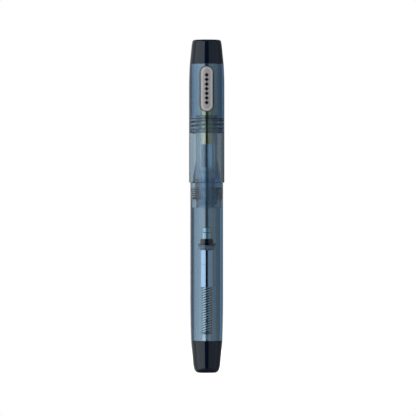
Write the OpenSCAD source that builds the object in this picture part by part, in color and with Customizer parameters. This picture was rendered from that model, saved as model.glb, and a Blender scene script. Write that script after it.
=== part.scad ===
// Capped fountain pen with a piston filler, standing on the end of its filler knob.
// Millimetres. +Z runs up the pen's axis from the foot to the top of the cap, and the
// name plate in the cap faces -Y. Heights are counted from the foot.

/* [Body] */
// Length of the filler knob, which is also the height of the barrel's lower end
knob_len = 13.1; // [12.5:0.1:18]
// Length of the barrel from the knob to its upper end
barrel_len = 64.5; // [52:0.1:80]
// Outside radius of the straight part of the barrel
barrel_r = 6.69; // [6.6:0.01:8.2]
// Radius of the barrel at its joint with the knob
joint_r = 6.38; // [6.2:0.01:6.6]
// Length of the barrel's taper towards the knob
barrel_taper = 19.4; // [10:0.1:25]
// Radius of the ink chamber's bore
bore_r = 3.85; // [3.8:0.01:4]
// Radius of the flat foot that the pen stands on
foot_r = 4; // [3:0.1:4.4]
// Height of the rounded corner round the foot
foot_corner = 2.6; // [1.5:0.1:3]
// Radius of the knob just above that corner
knob_low_r = 5.45; // [5.4:0.01:5.8]

/* [Filler] */
// Wall of the barrel's neck that the knob turns on
neck_wall = 1.05; // [0.95:0.01:1.1]
// Length of that neck
neck_len = 6.6; // [4:0.1:6.8]
// Radius of the spindle over its thread
spindle_r = 2.15; // [1.8:0.01:2.2]
// Radius of the spindle's plain journal
journal_r = 1.5; // [1.2:0.01:1.6]
// Distance between neighbouring thread crests of the spindle
spindle_pitch = 1.02; // [0.8:0.01:1.3]
// Depth of the spindle's thread
spindle_depth = 0.38; // [0.2:0.01:0.42]
// Length of spindle inside the piston at rest
spindle_in = 9.5; // [6:0.1:10]
// Height of the bush's hub above the barrel's lower end
bush_rise = 3.1; // [1:0.1:4]
// Radius of the bush's hub
bush_hub_r = 2.3; // [2:0.05:3]
// Thickness of the bush's flange
bush_flange = 1.1; // [0.8:0.1:1.2]
// Thickness of the thrust washer
washer_t = 0.4; // [0.3:0.05:0.5]
// Radius of the metal insert in the knob
insert_r = 2.6; // [2.2:0.05:3.2]
// Thickness of the knob's floor
knob_floor = 1.5; // [1.2:0.1:2]

/* [Piston] */
// Length of the ink chamber at rest, from the piston's tip to the section
chamber_len = 8.3; // [7.6:0.1:10]
// Outside radius of the piston's metal sleeve
sleeve_r = 3; // [2.9:0.01:3.3]
// Length of the sleeve's lower part, which is the nut on the spindle
nut_len = 9.2; // [8:0.1:11]
// Length of the sleeve's upper part
ferrule_len = 6.1; // [5.5:0.1:8]
// Length of the seal
seal_len = 4.4; // [4:0.1:5]
// Radius of the seal's body
seal_r = 2.65; // [2.6:0.01:2.8]
// Length of the nut that clamps the seal
clamp_len = 2.6; // [2:0.1:3]
// Radius of the nut that clamps the seal
clamp_r = 2.3; // [2:0.01:2.5]
// Length of the domed nut at the tip
tip_len = 2.1; // [1.8:0.1:2.5]
// Radius of the domed nut at the tip
tip_r = 1.95; // [1.8:0.01:2.2]
// Radius of the threaded post through the seal
post_r = 1.3; // [1:0.01:1.4]
// How far the piston can travel towards the section
travel_up = 7; // [5:0.1:7]
// How far the piston can travel towards the knob
travel_down = 6.3; // [5:0.1:6.4]
// Length of the key on the nut
key_len = 3; // [2:0.1:3.2]
// Width of that key
key_w = 1; // [0.8:0.05:1.4]
// Height of the key above the sleeve
key_h = 1.1; // [1:0.05:1.2]

/* [Section] */
// Length of the section's tail inside the barrel
section_tail = 10.1; // [9.5:0.1:12]
// Radius of the section's tail over its thread
tail_r = 4.9; // [4.7:0.01:5]
// Distance between neighbouring crests of the tail's thread
tail_pitch = 0.82; // [0.6:0.01:1]
// Length of the plain end of the tail, which carries the seal ring
tail_plain = 3.3; // [3:0.1:3.6]
// Length of the grip above the barrel
grip_len = 26.7; // [25:0.1:32]
// Radius of the grip where it meets the barrel
grip_base_r = 5.84; // [5.6:0.01:5.9]
// Radius of the grip where the fingers hold it
grip_r = 4.5; // [4.3:0.01:4.7]
// Height above the barrel at which the grip's flare starts
flare_start = 0.2; // [0.1:0.1:3]
// Length of the grip's flare
flare_len = 10.7; // [6:0.1:12]
// Radius of the thread collar at the front of the grip
collar_r = 4.6; // [4.5:0.01:4.8]
// Length of that thread collar
collar_len = 5.8; // [5:0.1:7]
// Distance between neighbouring crests of the cap's thread
cap_pitch = 1.6; // [1.2:0.05:2]

/* [Nib] */
// Outside radius of the nib's shank
nib_r = 2.5; // [2.4:0.01:2.6]
// Thickness of the nib's sheet
nib_t = 0.3; // [0.25:0.01:0.35]
// Length of shank held inside the grip
nib_held = 10.9; // [8:0.1:12]
// Length of nib that stands out of the grip
nib_out = 16.5; // [15:0.1:18]
// Half of the nib's width at its shoulders
nib_shoulder = 3.45; // [3:0.01:3.6]
// Height of the shoulders above the front of the grip
shoulder_rise = 6.7; // [6:0.1:8]
// Slope of the nib's blade towards the axis, in degrees
nib_slope = 5.8; // [4:0.1:7]
// Outside radius of the nib's housing in the grip
housing_r = 3.32; // [3.2:0.01:3.4]
// Length of the nib's housing
housing_len = 25; // [22:0.1:26]

/* [Cap] */
// Length of the cap's tube
cap_tube_len = 48.5; // [47:0.1:60]
// How far the cap stands proud of the barrel
cap_proud = 0.54; // [0.4:0.01:1.2]
// Length of the cap's taper below the finial
cap_taper = 9.8; // [8:0.1:12]
// How much the radius shrinks over that taper
cap_taper_in = 0.31; // [0.1:0.01:0.4]
// Radius of the cap's inner chamber above the thread
cap_chamber_r = 4.5; // [4.3:0.01:4.6]
// Length of the finial
finial_len = 9.9; // [8:0.1:14]
// How much the finial's radius shrinks over its length
finial_in = 0.87; // [0.5:0.01:1]
// Width of the finial's rounded corner
finial_corner_w = 0.85; // [0.5:0.01:1]
// Height of the finial's rounded corner
finial_corner_h = 1.5; // [1:0.1:2]
// Length of the cap's stud inside the finial
stud_len = 4; // [3:0.1:5]
// Radius of the cap's stud inside the finial
stud_r = 5.5; // [5.3:0.01:5.6]
// Thickness of the wall that closes the top of the cap's chamber
cap_end_wall = 2; // [1.5:0.1:2.5]
// Thickness of the soft ring inside the cap
cap_seal_t = 0.8; // [0.6:0.05:1]

/* [Name plate] */
// Length of the plate
plate_len = 18.3; // [15:0.1:18.5]
// Width of the plate
plate_w = 5.15; // [4.5:0.05:5.5]
// Thickness of the plate
plate_t = 0.6; // [0.5:0.05:0.7]
// Height of the plate's lower end above the cap's lip
plate_rise = 29.1; // [28.8:0.1:29.4]
// Width of the plate's raised rim
plate_rim = 0.55; // [0.4:0.05:0.8]
// Depth of the field inside the rim
plate_field = 0.12; // [0.08:0.01:0.2]
// Number of lozenges in the plate's ornament
lozenges = 7; // [3:1:7]
// Length of one lozenge
lozenge_len = 1.8; // [1:0.1:1.85]
// Width of one lozenge
lozenge_w = 1.7; // [0.6:0.1:1.8]

/* [Fits] */
// Radial clearance of a piece that turns or slides in another
run_gap = 0.05; // [0.02:0.01:0.08]
// Radial clearance between pieces that are fixed together
seat_gap = 0.02; // [0.01:0.005:0.04]
// Clearance between end faces that meet across a joint
end_gap = 0.05; // [0.03:0.01:0.1]
// Thickness radius of the section's seal ring
section_ring_r = 0.6; // [0.4:0.05:0.7]
// Thickness radius of the two thin seal rings
ring_r = 0.3; // [0.25:0.01:0.32]
// Size of the small chamfers
chamfer = 0.2; // [0.1:0.05:0.3]

/* [Hidden] */
$fn = 96;

// A cut reaches this far past the faces that it passes through.
over = 1;
// Number of straight pieces in a curved outline
arc_steps = 12;

// Heights and radii of the barrel and the filler
neck_r = bore_r + neck_wall;
barrel_z = knob_len;
barrel_top = barrel_z + barrel_len;
neck_z = barrel_z - neck_len;
bush_z = neck_z - bush_flange;
bush_top = barrel_z + bush_rise;
washer_z = bush_z - washer_t;
hub_top = washer_z - end_gap;
journal_z = knob_floor + 0.4;

// Heights of the section and the nib
section_z = barrel_top - section_tail;
tail_thread_z = section_z + tail_plain;
tail_thread_len = section_tail - tail_plain - 2;
ring_seat_r = tail_r - 0.4;
section_ring_centre = ring_seat_r - section_ring_r + run_gap / 2;
section_ring_z = section_z + tail_plain / 2;
grip_top = barrel_top + grip_len;
collar_z = grip_top - collar_len;
nib_z = grip_top - nib_held;
nib_tip_z = grip_top + nib_out;
housing_z = grip_top - housing_len;
nib_in_r = nib_r - nib_t;
feed_r = nib_in_r - seat_gap;
blade_z = grip_top + 2.7;
feed_z = housing_z + 4.7;
feed_tip_z = nib_tip_z - 3.3;
ink_bore_r = 2.2;

// Heights of the piston, counted down from its tip
tip_z = section_z - chamber_len - tip_len;
clamp_z = tip_z - clamp_len;
seal_z = clamp_z - seal_len;
ferrule_z = seal_z - ferrule_len;
nut_z = ferrule_z - nut_len;
spindle_top = nut_z + spindle_in;
spindle_z = bush_top + end_gap;
spindle_bore_r = spindle_r + run_gap;
core_in_r = spindle_bore_r + 0.05;
core_r = core_in_r + 0.3;
core_z = ferrule_z + 2;
core_roof = seal_z + 1.4;
core_shelf = core_roof + 0.6;
spigot_r = 2.6;
spigot_len = 1.5;
lip_z = seal_z + 2.3;
keyway_z = nut_z - travel_down - 0.2;
keyway_top = nut_z + key_len + travel_up + 0.2;
bush_disc_top = barrel_z - 0.2;

// Heights and radii of the cap
cap_z = barrel_top + end_gap;
cap_r = barrel_r + cap_proud;
cap_top_r = cap_r - cap_taper_in;
cap_bore_r = grip_base_r + 0.15;
cap_tube_top = cap_z - end_gap + cap_tube_len;
pen_top = cap_tube_top + finial_len;
cap_thread_r = collar_r + run_gap;
cap_seal_z = grip_top + end_gap;
cap_step_z = cap_seal_z + cap_seal_t + end_gap;
cap_shoulder_z = collar_z - 0.2;
stud_top = cap_tube_top + stud_len;
cap_chamber_top = stud_top - cap_end_wall;
plate_z = cap_z - end_gap + plate_rise;
plate_mid = plate_z + plate_len / 2;

// ---------- Outlines ----------

// A quarter of an ellipse about c, from its side to its top or bottom (up = 1 or -1)
function corner_points(c, w, h, up) =
    [for (i = [0:arc_steps]) let (a = 90 * i / arc_steps) [c.x + w * cos(a), c.y + up * h * sin(a)]];

// Crests and roots of thread rings between the heights z0 and z1
function thread_points(crest, root, pitch, z0, z1) =
    let (turns = floor((z1 - z0) / pitch), z_first = z0 + (z1 - z0 - turns * pitch) / 2)
    [for (i = [0:turns - 1], part = [0:3])
        let (z = z_first + i * pitch)
        part == 0 ? [root, z + 0.1 * pitch]
        : part == 1 ? [crest, z + 0.4 * pitch]
        : part == 2 ? [crest, z + 0.6 * pitch]
        : [root, z + 0.9 * pitch]];

// A solid of revolution from its outline of [radius, height] points
module turned(points) rotate_extrude() polygon(points);

// A plain ring
module tube(r_out, r_in, z, h) {
    translate([0, 0, z]) difference() {
        cylinder(r = r_out, h = h);
        translate([0, 0, -over]) cylinder(r = r_in, h = h + 2 * over);
    }
}

// A seal ring of round section about the axis
module seal_ring(centre_r, z, thick_r = ring_r)
    rotate_extrude() translate([centre_r, z]) circle(r = thick_r, $fn = 32);

// The groove that a seal ring sits in, cut from the outside of a round piece
module ring_groove(centre_r, z, thick_r = ring_r) {
    room = thick_r + 0.05;
    tube(centre_r + 2, centre_r - thick_r - seat_gap, z - room, 2 * room);
}

// Radius of the barrel's outside at the height z
function barrel_outside(z) =
    let (t = max(0, 1 - (z - barrel_z) / barrel_taper)) barrel_r - (barrel_r - joint_r) * t * t;

// Radius of the cap's outside at the height z
function cap_outside(z) =
    let (t = max(0, (z - cap_tube_top + cap_taper) / cap_taper)) cap_r - cap_taper_in * t * t;

// Radius of the grip's outside at the height z
function grip_outside(z) =
    let (t = min(1, max(0, (z - barrel_top - flare_start) / flare_len)))
    grip_r + (grip_base_r - grip_r) * (1 + cos(180 * t)) / 2;

// ---------- Filler ----------

// The black knob at the tail. It turns on the barrel's neck.
module filler_knob() {
    cavity_r = neck_r + 2 * run_gap;
    color([0.03, 0.03, 0.04]) difference() {
        turned(concat(
            [[0, 0], [foot_r, 0]],
            [for (i = [0:arc_steps])
                corner_points([foot_r, foot_corner], knob_low_r - foot_r, foot_corner, -1)[arc_steps - i]],
            [[joint_r, barrel_z - end_gap], [0, barrel_z - end_gap]]
        ));
        translate([0, 0, hub_top]) cylinder(r = cavity_r, h = knob_len);
        translate([0, 0, knob_floor]) cylinder(r = insert_r + seat_gap, h = knob_len);
    }
}

// The brass insert that ties the spindle to the knob
module knob_insert() {
    color([0.8, 0.63, 0.3]) tube(insert_r, journal_r + seat_gap, knob_floor, hub_top - knob_floor);
}

// The spindle: a plain journal in the bush and a coarse thread in the piston's nut
module spindle() {
    color([0.72, 0.74, 0.78]) turned(concat(
        [[0, journal_z], [journal_r, journal_z], [journal_r, spindle_z],
         [spindle_r - spindle_depth, spindle_z]],
        thread_points(spindle_r, spindle_r - spindle_depth, spindle_pitch,
                      spindle_z + chamfer, spindle_top),
        [[spindle_r - spindle_depth, spindle_top], [0, spindle_top]]
    ));
}

// The metal bush that closes the barrel's lower end and carries the spindle
module tail_bush() {
    color([0.78, 0.8, 0.83]) difference() {
        union() {
            translate([0, 0, bush_z]) cylinder(r = neck_r, h = bush_flange);
            translate([0, 0, bush_z]) cylinder(r = bore_r - seat_gap, h = bush_disc_top - bush_z);
            translate([0, 0, bush_z]) cylinder(r = bush_hub_r, h = bush_top - bush_z);
        }
        translate([0, 0, bush_z - over])
            cylinder(r = journal_r + run_gap, h = bush_top - bush_z + 2 * over);
    }
}

// The slippery washer between the knob's hub and the bush
module thrust_washer() {
    color([0.93, 0.93, 0.9]) tube(neck_r - 0.9, journal_r + run_gap, washer_z, washer_t);
}

// The ring on the barrel's neck that gives the knob its drag
module neck_ring() {
    color([0.05, 0.05, 0.05]) seal_ring(neck_r - ring_r + run_gap, (neck_z + barrel_z) / 2);
}

// ---------- Barrel ----------

// The clear barrel: neck, tapered outside, ink bore, keyway and the section's socket
module barrel() {
    socket_r = tail_r + run_gap;
    seat_r = ring_seat_r + run_gap;
    color([0.35, 0.47, 0.58, 0.6]) difference() {
        union() {
            turned(concat(
                [[0, barrel_z]],
                [for (i = [0:arc_steps])
                    let (z = barrel_z + barrel_taper * i / arc_steps) [barrel_outside(z), z]],
                [[barrel_r, barrel_top - chamfer], [barrel_r - chamfer, barrel_top], [0, barrel_top]]
            ));
            translate([0, 0, neck_z]) cylinder(r = neck_r, h = neck_len + over);
        }
        translate([0, 0, neck_z - over]) cylinder(r = bore_r, h = barrel_top);
        translate([0, 0, section_z - 0.2]) cylinder(r = seat_r, h = section_tail + over);
        translate([0, 0, tail_thread_z - 0.2]) cylinder(r = socket_r, h = section_tail + over);
        turned(concat(
            [[seat_r - 0.2, tail_thread_z]],
            thread_points(socket_r + 0.28, socket_r - 0.02, tail_pitch,
                tail_thread_z, tail_thread_z + tail_thread_len),
            [[seat_r - 0.2, tail_thread_z + tail_thread_len]]
        ));
        translate([-key_w / 2 - run_gap, 0, keyway_z])
            cube([key_w + 2 * run_gap, sleeve_r + key_h + run_gap, keyway_top - keyway_z]);
        ring_groove(neck_r - ring_r + run_gap, (neck_z + barrel_z) / 2);
    }
}

// ---------- Piston ----------

// Lower part of the piston's sleeve: the nut on the spindle, kept from turning by its key
module piston_nut() {
    color([0.75, 0.79, 0.85]) difference() {
        union() {
            turned([
                [0, nut_z], [sleeve_r - chamfer, nut_z], [sleeve_r, nut_z + chamfer],
                [sleeve_r, ferrule_z - chamfer], [sleeve_r - chamfer, ferrule_z],
                [spigot_r, ferrule_z], [spigot_r, ferrule_z + spigot_len], [0, ferrule_z + spigot_len]
            ]);
            translate([-key_w / 2, 0, nut_z]) cube([key_w, sleeve_r + key_h, key_len]);
        }
        translate([0, 0, nut_z - over])
            cylinder(r = spindle_bore_r, h = nut_len + spigot_len + 2 * over);
    }
}

// Upper part of the piston's sleeve
module piston_ferrule() {
    color([0.78, 0.82, 0.88]) difference() {
        turned([
            [0, ferrule_z], [sleeve_r - chamfer, ferrule_z], [sleeve_r, ferrule_z + chamfer],
            [sleeve_r, seal_z - chamfer], [sleeve_r - chamfer, seal_z], [0, seal_z]
        ]);
        translate([0, 0, ferrule_z - over]) cylinder(r = core_r + seat_gap, h = ferrule_len + 2 * over);
        translate([0, 0, ferrule_z - over])
            cylinder(r = spigot_r + seat_gap, h = spigot_len + over + seat_gap);
    }
}

// The core that joins the sleeve to the seal: a cup over the spindle with a threaded post
module piston_core() {
    color([0.7, 0.72, 0.76]) turned([
        [core_in_r, core_z], [core_r, core_z], [core_r, core_shelf], [post_r, core_shelf],
        [post_r, tip_z + 1], [0, tip_z + 1], [0, core_roof], [core_in_r, core_roof]
    ]);
}

// The black rubber seal, with the thin lip that wipes the bore
module piston_seal() {
    lip_r = bore_r - seat_gap;
    hole_r = post_r + seat_gap;
    color([0.03, 0.03, 0.03]) turned([
        [core_r + seat_gap, seal_z], [seal_r, seal_z], [seal_r, lip_z - 0.25], [lip_r, lip_z - 0.1],
        [lip_r, lip_z + 0.1], [seal_r, lip_z + 0.2], [seal_r, clamp_z - 0.9], [clamp_r + 0.1, clamp_z],
        [hole_r, clamp_z], [hole_r, core_shelf + seat_gap], [core_r + seat_gap, core_shelf + seat_gap]
    ]);
}

// The pale flared skirt round the seal, which backs its lip
module seal_skirt() {
    hole_r = seal_r + seat_gap;
    color([0.8, 0.83, 0.85]) turned([
        [hole_r, seal_z + 0.1], [hole_r + 0.25, seal_z + 0.1], [bore_r - 0.3, lip_z - 0.6],
        [bore_r - 0.3, lip_z - 0.4], [hole_r, lip_z - 0.3]
    ]);
}

// The nut that clamps the seal on the core
module seal_clamp_nut() {
    hole_r = post_r + seat_gap;
    color([0.8, 0.83, 0.88]) turned([
        [hole_r, clamp_z], [clamp_r, clamp_z], [clamp_r, tip_z - chamfer], [clamp_r - chamfer, tip_z],
        [hole_r, tip_z]
    ]);
}

// The domed nut at the piston's tip
module piston_tip() {
    hole_r = post_r + seat_gap;
    top = tip_z + tip_len;
    color([0.82, 0.85, 0.9]) turned([
        [hole_r, tip_z], [tip_r - chamfer, tip_z], [tip_r, tip_z + chamfer], [tip_r, top - 2 * chamfer],
        [tip_r - 2 * chamfer, top], [0, top], [0, tip_z + 1 + seat_gap], [hole_r, tip_z + 1 + seat_gap]
    ]);
}

// ---------- Section and nib ----------

// The clear grip, with its threaded tail in the barrel and the cap's thread at its front
module grip_section() {
    color([0.42, 0.53, 0.62, 0.7]) difference() {
        turned(concat(
            [[0, section_z], [ring_seat_r, section_z], [ring_seat_r, tail_thread_z],
             [tail_r - 0.28, tail_thread_z]],
            thread_points(tail_r, tail_r - 0.28, tail_pitch,
                          tail_thread_z, tail_thread_z + tail_thread_len),
            [[tail_r - 0.28, tail_thread_z + tail_thread_len], [tail_r, tail_thread_z + tail_thread_len]],
            [[tail_r, barrel_top], [grip_base_r, barrel_top]],
            [for (i = [0:arc_steps])
                let (z = barrel_top + flare_start + flare_len * i / arc_steps) [grip_outside(z), z]],
            [[grip_r, collar_z], [collar_r - 0.35, collar_z]],
            thread_points(collar_r, collar_r - 0.35, cap_pitch, collar_z + 0.3, grip_top - 0.3),
            [[collar_r - 0.35, grip_top], [0, grip_top]]
        ));
        translate([0, 0, section_z - over]) cylinder(r = ink_bore_r, h = section_tail + grip_len);
        translate([0, 0, housing_z]) cylinder(r = housing_r + seat_gap, h = housing_len + over);
        ring_groove(section_ring_centre, section_ring_z, section_ring_r);
    }
}

// The ring that seals the section in the barrel
module section_ring() {
    color([0.2, 0.27, 0.35]) seal_ring(section_ring_centre, section_ring_z, section_ring_r);
}

// The clear housing that screws into the grip and holds the nib and the feed
module nib_housing() {
    color([0.6, 0.68, 0.74, 0.6]) difference() {
        translate([0, 0, housing_z + seat_gap]) cylinder(r = housing_r, h = housing_len - seat_gap);
        translate([0, 0, housing_z - over]) cylinder(r = feed_r + seat_gap, h = housing_len + 2 * over);
        translate([0, 0, nib_z]) cylinder(r = nib_r + seat_gap, h = nib_held + over);
        ring_groove(housing_r - ring_r, housing_z + 2.7);
    }
}

// The ring that seals the housing in the grip
module housing_ring() {
    color([0.05, 0.05, 0.05]) seal_ring(housing_r - ring_r, housing_z + 2.7);
}

// The black feed under the nib, with its ink channel and its fins
module feed() {
    fin_gap = 0.3;
    fin_pitch = 0.75;
    color([0.05, 0.05, 0.06]) difference() {
        turned([
            [0, feed_z], [feed_r, feed_z], [feed_r, blade_z],
            [feed_r - (feed_tip_z - blade_z) * tan(nib_slope) - 0.03, feed_tip_z], [0, feed_tip_z + 0.4]
        ]);
        for (i = [0:8])
            translate([-nib_r, 0.9, grip_top + 1 + i * fin_pitch]) cube([2 * nib_r, nib_r, fin_gap]);
        translate([-0.2, -nib_r, feed_z - over]) cube([0.4, nib_r - 1.2, feed_tip_z - feed_z]);
    }
}

// Outline of the nib's blade seen from the front: [half width, height above the blade's start]
function blade_outline() =
    let (rise = grip_top + shoulder_rise - blade_z, tip = nib_tip_z - blade_z, half_tip = 0.4)
    concat(
        [[-nib_r, -0.5], [nib_r, -0.5]],
        [for (i = [0:4])
            let (t = i / 4) [nib_r + (nib_shoulder - nib_r) * (1 - cos(180 * t)) / 2, rise * t]],
        [for (i = [1:8]) let (t = i / 8)
            [half_tip + (nib_shoulder - half_tip) * pow(1 - t, 0.8), rise + (tip - rise) * t]],
        [for (i = [0:7]) let (t = 1 - i / 8)
            [-half_tip - (nib_shoulder - half_tip) * pow(1 - t, 0.8), rise + (tip - rise) * t]],
        [for (i = [0:4]) let (t = 1 - i / 4)
            [-nib_r - (nib_shoulder - nib_r) * (1 - cos(180 * t)) / 2, rise * t]]
    );

// The gold nib: a rolled shank on the feed and a sloping blade with its slit
module nib() {
    wrap = 0.9;
    bend_r = nib_shoulder + 0.05;
    color([0.83, 0.68, 0.35]) difference() {
        union() {
            intersection() {
                tube(nib_r, nib_in_r, nib_z, blade_z + 0.3 - nib_z);
                translate([-5, wrap - 10, nib_z - over]) cube([10, 10, nib_held + 10]);
            }
            translate([0, 0, blade_z]) rotate([-nib_slope, 0, 0]) intersection() {
                translate([0, bend_r - nib_r, 0]) tube(bend_r, bend_r - nib_t, -over, nib_out + 2 * over);
                rotate([90, 0, 0]) linear_extrude(height = 5) polygon(blade_outline());
            }
        }
        translate([-0.06, -5, grip_top + shoulder_rise]) cube([0.12, 10, nib_out]);
        translate([0, -5, grip_top + shoulder_rise]) rotate([-90, 0, 0])
            cylinder(r = 0.45, h = 5, $fn = 32);
    }
}

// The hard pellet at the nib's point
module nib_point() {
    reach = nib_tip_z - blade_z;
    color([0.75, 0.76, 0.78])
        translate([0, -nib_r * cos(nib_slope) + reach * sin(nib_slope) + 0.2,
                   blade_z + reach * cos(nib_slope) + 0.52])
        sphere(r = 0.42, $fn = 32);
}

// ---------- Cap ----------

// The outside of the cap's tube as a solid, moved inwards by shrink
module cap_shape(shrink) {
    turned(concat(
        [[0, cap_z], [cap_r - shrink, cap_z]],
        [for (i = [0:arc_steps])
            let (z = cap_tube_top - cap_taper + cap_taper * i / arc_steps) [cap_outside(z) - shrink, z]],
        [[0, cap_tube_top]]
    ));
}

// A stadium about the plate's middle, run through the front of the cap
module plate_prism(w, h) {
    translate([0, 0, plate_mid]) rotate([90, 0, 0]) linear_extrude(height = cap_r + over) union() {
        square([w, h - w], center = true);
        for (side = [-1, 1]) translate([0, side * (h - w) / 2]) circle(r = w / 2);
    }
}

// The soft ring in the cap that the front of the grip closes on
module cap_seal() {
    color([0.1, 0.1, 0.11]) tube(cap_thread_r - run_gap, nib_shoulder + 0.3, cap_seal_z, cap_seal_t);
}

// The clear cap: mouth, thread, chamber over the nib, stud for the finial and plate recess
module cap_tube() {
    color([0.33, 0.44, 0.54, 0.6]) difference() {
        union() {
            difference() {
                cap_shape(0);
                difference() {
                    tube(cap_r + over, cap_r - chamfer, cap_z - over, over + chamfer);
                    translate([0, 0, cap_z]) cylinder(r1 = cap_r - chamfer, r2 = cap_r, h = chamfer);
                }
            }
            translate([0, 0, cap_tube_top - over]) cylinder(r = stud_r, h = stud_len + over);
        }
        translate([0, 0, cap_z - over]) cylinder(r = cap_bore_r, h = cap_shoulder_z - cap_z + over);
        translate([0, 0, cap_shoulder_z - over])
            cylinder(r = cap_thread_r, h = cap_step_z - cap_shoulder_z + over);
        turned(concat(
            [[0, collar_z]],
            thread_points(cap_thread_r + 0.35, cap_thread_r - 0.02, cap_pitch,
                          collar_z + 0.3, grip_top - 0.3),
            [[0, grip_top]]
        ));
        translate([0, 0, grip_top]) cylinder(r = cap_chamber_r, h = cap_chamber_top - grip_top);
        difference() {
            plate_prism(plate_w + 2 * seat_gap, plate_len + 2 * seat_gap);
            cap_shape(plate_t + seat_gap);
        }
    }
}

// The black finial that screws over the cap's stud
module cap_finial() {
    side_r = cap_top_r - finial_in;
    color([0.03, 0.03, 0.04]) difference() {
        turned(concat(
            [[0, cap_tube_top], [cap_top_r, cap_tube_top]],
            corner_points([side_r - finial_corner_w, pen_top - finial_corner_h],
                          finial_corner_w, finial_corner_h, 1),
            [[0, pen_top]]
        ));
        translate([0, 0, cap_tube_top - over])
            cylinder(r = stud_r + seat_gap, h = stud_len + over + seat_gap);
    }
}

// The ornament's lozenges, run through the front of the cap
module ornament_prisms(grow) {
    step = (plate_len - 2 * plate_w / 2) / lozenges;
    half_w = lozenge_w / 2 + grow;
    half_h = lozenge_len / 2 + grow;
    for (i = [0:lozenges - 1])
        translate([0, 0, plate_mid + (i - (lozenges - 1) / 2) * step]) rotate([90, 0, 0])
            linear_extrude(height = cap_r + over)
                polygon([[-half_w, 0], [0, -half_h], [half_w, 0], [0, half_h]]);
}

// The metal plate, curved to the cap, with a raised rim and pockets for its ornament
module name_plate() {
    color([0.8, 0.82, 0.85]) difference() {
        intersection() {
            plate_prism(plate_w, plate_len);
            cap_shape(seat_gap);
        }
        cap_shape(plate_t);
        difference() {
            plate_prism(plate_w - 2 * plate_rim, plate_len - 2 * plate_rim);
            cap_shape(seat_gap + plate_field);
        }
        difference() {
            ornament_prisms(0.01);
            cap_shape(seat_gap + 2 * plate_field);
        }
    }
}

// The black enamel in the plate's ornament
module plate_inlay() {
    color([0.05, 0.05, 0.06]) difference() {
        intersection() {
            ornament_prisms(0);
            cap_shape(seat_gap + plate_field);
        }
        cap_shape(seat_gap + 2 * plate_field);
    }
}

filler_knob();
knob_insert();
spindle();
barrel();
tail_bush();
thrust_washer();
neck_ring();
piston_nut();
piston_ferrule();
piston_core();
piston_seal();
seal_skirt();
seal_clamp_nut();
piston_tip();
grip_section();
section_ring();
nib_housing();
housing_ring();
feed();
nib();
nib_point();
cap_seal();
cap_tube();
cap_finial();
name_plate();
plate_inlay();
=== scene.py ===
# %% [markdown]
# # A clear fountain pen
# The pen is a set of turned pieces, one inside the other: a smoke-blue barrel and cap that can be seen
# through, black ends, and a piston on a coarse screw in the middle. The solid model gives every piece its
# place. This lesson gives the pieces their finished surfaces, their materials and their light.

# %% Start: load the fixed frame and keep its box
from math import atan2, cos, pi, radians, sin, sqrt, tau

import bmesh
import bpy
from mathutils import Matrix, Vector


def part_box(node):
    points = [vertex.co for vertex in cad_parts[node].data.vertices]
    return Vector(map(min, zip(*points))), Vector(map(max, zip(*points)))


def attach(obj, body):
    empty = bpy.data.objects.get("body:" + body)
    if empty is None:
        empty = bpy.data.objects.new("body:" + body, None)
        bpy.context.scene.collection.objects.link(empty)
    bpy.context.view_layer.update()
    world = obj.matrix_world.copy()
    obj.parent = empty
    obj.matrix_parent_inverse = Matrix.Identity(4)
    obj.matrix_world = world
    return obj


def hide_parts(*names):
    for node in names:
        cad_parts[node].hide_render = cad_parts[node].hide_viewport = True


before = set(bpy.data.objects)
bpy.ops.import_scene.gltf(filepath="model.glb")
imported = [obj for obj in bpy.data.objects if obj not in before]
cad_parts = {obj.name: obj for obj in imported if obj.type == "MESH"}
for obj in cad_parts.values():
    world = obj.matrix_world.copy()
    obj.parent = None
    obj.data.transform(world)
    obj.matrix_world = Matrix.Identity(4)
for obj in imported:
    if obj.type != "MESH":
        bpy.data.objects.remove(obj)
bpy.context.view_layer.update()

MM = 0.001
scene = bpy.context.scene
print("pieces in the solid model:", len(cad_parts))

# %% [markdown]
# ## Reading sizes off the solid model
# The outer heights and radii below are read from the nodes' boxes, so the finished surface stays on the
# solid that it replaces; the smaller steps of each outline are given as numbers. `low`, `high` and `radius`
# give them in millimetres, because a pen's sizes are easier to read that way. `SEAT` is the gap between
# pieces that are fixed together, and `RUN` the gap between pieces that turn or slide on each other.


# %% Sizes from the nodes
def low(node):
    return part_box(node)[0].z / MM


def high(node):
    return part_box(node)[1].z / MM


def radius(node):
    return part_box(node)[1].x / MM


SEAT = 0.02
RUN = 0.05
BARREL_Z = high("filler_knob") + RUN
BARREL_TOP = high("barrel")
BARREL_R = radius("barrel")
NECK_Z = low("barrel")
NECK_R = radius("tail_bush")
BORE_R = radius("piston_seal") + SEAT
JOINT_R = radius("filler_knob")
SECTION_Z = low("grip_section")
GRIP_TOP = high("grip_section")
CAP_Z = low("cap_tube")
CAP_R = radius("cap_tube")
FINIAL_Z = low("cap_finial")
PEN_TOP = high("cap_finial")
STUD_TOP = high("cap_tube")
print(f"barrel {BARREL_Z:.2f} to {BARREL_TOP:.2f} mm, cap {CAP_Z:.2f} to {PEN_TOP:.2f} mm")

# %% [markdown]
# ## The camera
# A long lens a long way off shows the pen almost without perspective, which suits a straight object seen
# from the side. The lens follows from the width that has to fit in the view.

# %% Camera
VIEW_WIDTH = 0.17
CAMERA_AWAY = 2.0
SENSOR_WIDTH = 36
VIEW_CENTRE = (0.00053, 0.06727)

camera_data = bpy.data.cameras.new("camera")
camera_data.sensor_width = SENSOR_WIDTH
camera_data.lens = SENSOR_WIDTH * CAMERA_AWAY / VIEW_WIDTH
camera = bpy.data.objects.new("camera", camera_data)
camera.location = (VIEW_CENTRE[0], -CAMERA_AWAY, VIEW_CENTRE[1])
camera.rotation_euler = (radians(90), 0, 0)
scene.collection.objects.link(camera)
scene.camera = camera
print(f"lens {camera_data.lens:.0f} mm")

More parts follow.
